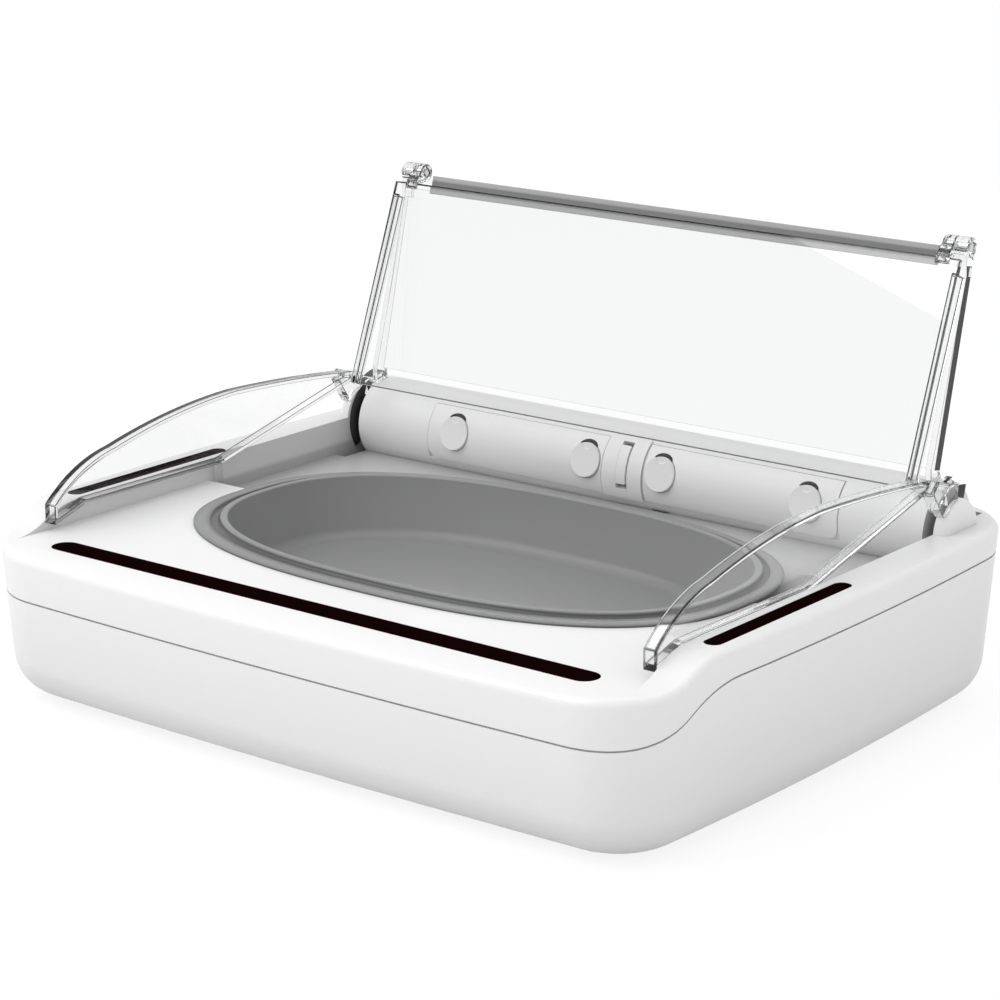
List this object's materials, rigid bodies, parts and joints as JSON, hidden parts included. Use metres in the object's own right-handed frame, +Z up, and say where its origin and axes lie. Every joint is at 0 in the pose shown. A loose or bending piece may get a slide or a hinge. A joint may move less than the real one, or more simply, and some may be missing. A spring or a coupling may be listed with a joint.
{
  "type": "sealed pet feeder",
  "caption": "Low battery-powered pet feeder: white base, grey sunk bowl and a clear folding two-panel lid between arched guides, shown open.",
  "frame": {"origin": "centre of the footprint, on the floor under the feet", "axes": "+X to the right seen from the front, +Y to the back, +Z up; the front faces -Y"},
  "size_m": [0.3063, 0.2449, 0.1684],
  "materials": {
    "white_plastic": "smooth satin gloss",
    "clear_plastic": "polished clear",
    "bowl_grey": "smooth satin",
    "window_black": "polished, dark infrared-pass",
    "strip_grey": "satin",
    "steel": "bright",
    "gear_white": "natural acetal",
    "black_plastic": "matte",
    "button_grey": "matte",
    "board_green": "solder-masked board",
    "cell_wrap": "wrapped cell",
    "foot_rubber": "soft matte",
    "lamp_clear": "tinted clear"
  },
  "bodies": {
    "base": {"lower_shell": "white_plastic", "upper_housing": "white_plastic", "barrel_housing": "white_plastic", "left_end_cap": "white_plastic", "right_end_cap": "white_plastic", "left_barrel_cover": "white_plastic", "right_barrel_cover": "white_plastic", "cover_caps": "white_plastic", "centre_band": "white_plastic", "lever_pin": "steel", "front_sensor_window": "window_black", "left_sensor_window": "window_black", "right_sensor_window": "window_black", "bowl": "bowl_grey", "left_side_guide": "clear_plastic", "right_side_guide": "clear_plastic", "shaft_bushes": "gear_white", "idler_axle": "steel", "gear_frame": "black_plastic", "gear_motor": "steel", "c_cells": "cell_wrap", "battery_contacts": "steel", "left_battery_tray": "black_plastic", "right_battery_tray": "black_plastic", "left_battery_door": "white_plastic", "right_battery_door": "white_plastic", "control_board": "board_green", "board_components": "black_plastic", "front_sensor_board": "board_green", "side_sensor_boards": "board_green", "sensor_leds": "lamp_clear", "control_panel": "button_grey", "button_board": "board_green", "tactile_switches": "black_plastic", "rubber_feet": "foot_rubber", "case_screws": "steel"},
    "rear_lid": {"rear_lid_panel": "clear_plastic", "fold_strip": "strip_grey", "fold_pins": "steel", "drive_shaft": "steel", "left_drive_hub": "black_plastic", "right_drive_hub": "black_plastic", "drive_gear": "gear_white"},
    "front_lid": {"front_lid_panel": "clear_plastic", "guide_pegs": "clear_plastic"},
    "idler": {"idler_gear": "gear_white"},
    "pinion": {"motor_pinion": "gear_white"},
    "lever": {"release_lever": "white_plastic"},
    "open_button": {"open_close_button": "button_grey"},
    "mode_select_button": {"mode_button": "button_grey"},
    "delay_slider": {"delay_switch": "button_grey"}
  },
  "joints": [
    {"name": "rear_lid_hinge", "type": "hinge", "parent": "base", "child": "rear_lid", "pos_m": [0, 0.0936, 0.0647], "axis": [1, 0, 0], "range_deg": [0, 91.8]},
    {"name": "lid_fold", "type": "hinge", "parent": "rear_lid", "child": "front_lid", "pos_m": [0, 0.10659, 0.16476], "axis": [-1, 0, 0], "range_deg": [0, 151.57]},
    {"name": "idler_spin", "type": "hinge", "parent": "base", "child": "idler", "pos_m": [0, 0.0936, 0.0427], "axis": [-1, 0, 0], "range_deg": [0, 76.6]},
    {"name": "pinion_spin", "type": "hinge", "parent": "base", "child": "pinion", "pos_m": [0, 0.0758, 0.04001], "axis": [1, 0, 0], "range_deg": [0, 153.1]},
    {"name": "release_lever_hinge", "type": "hinge", "parent": "base", "child": "lever", "pos_m": [0, 0.08045, 0.06355], "axis": [-1, 0, 0], "range_deg": [0, 6], "stiffness_Nm_per_rad": 0.05},
    {"name": "open_button_press", "type": "slide", "parent": "base", "child": "open_button", "axis": [0, 0, -1], "range_m": [0, 0.001], "stiffness_N_per_m": 200},
    {"name": "mode_button_press", "type": "slide", "parent": "base", "child": "mode_select_button", "axis": [0, 0, -1], "range_m": [0, 0.001], "stiffness_N_per_m": 200},
    {"name": "delay_slide", "type": "slide", "parent": "base", "child": "delay_slider", "axis": [1, 0, 0], "range_m": [0, 0.008]}
  ],
  "couplings": [
    {"joint": "lid_fold", "follows": "rear_lid_hinge", "ratio": 1.65},
    {"joint": "idler_spin", "follows": "rear_lid_hinge", "ratio": 0.83333},
    {"joint": "pinion_spin", "follows": "rear_lid_hinge", "ratio": 1.6667}
  ]
}
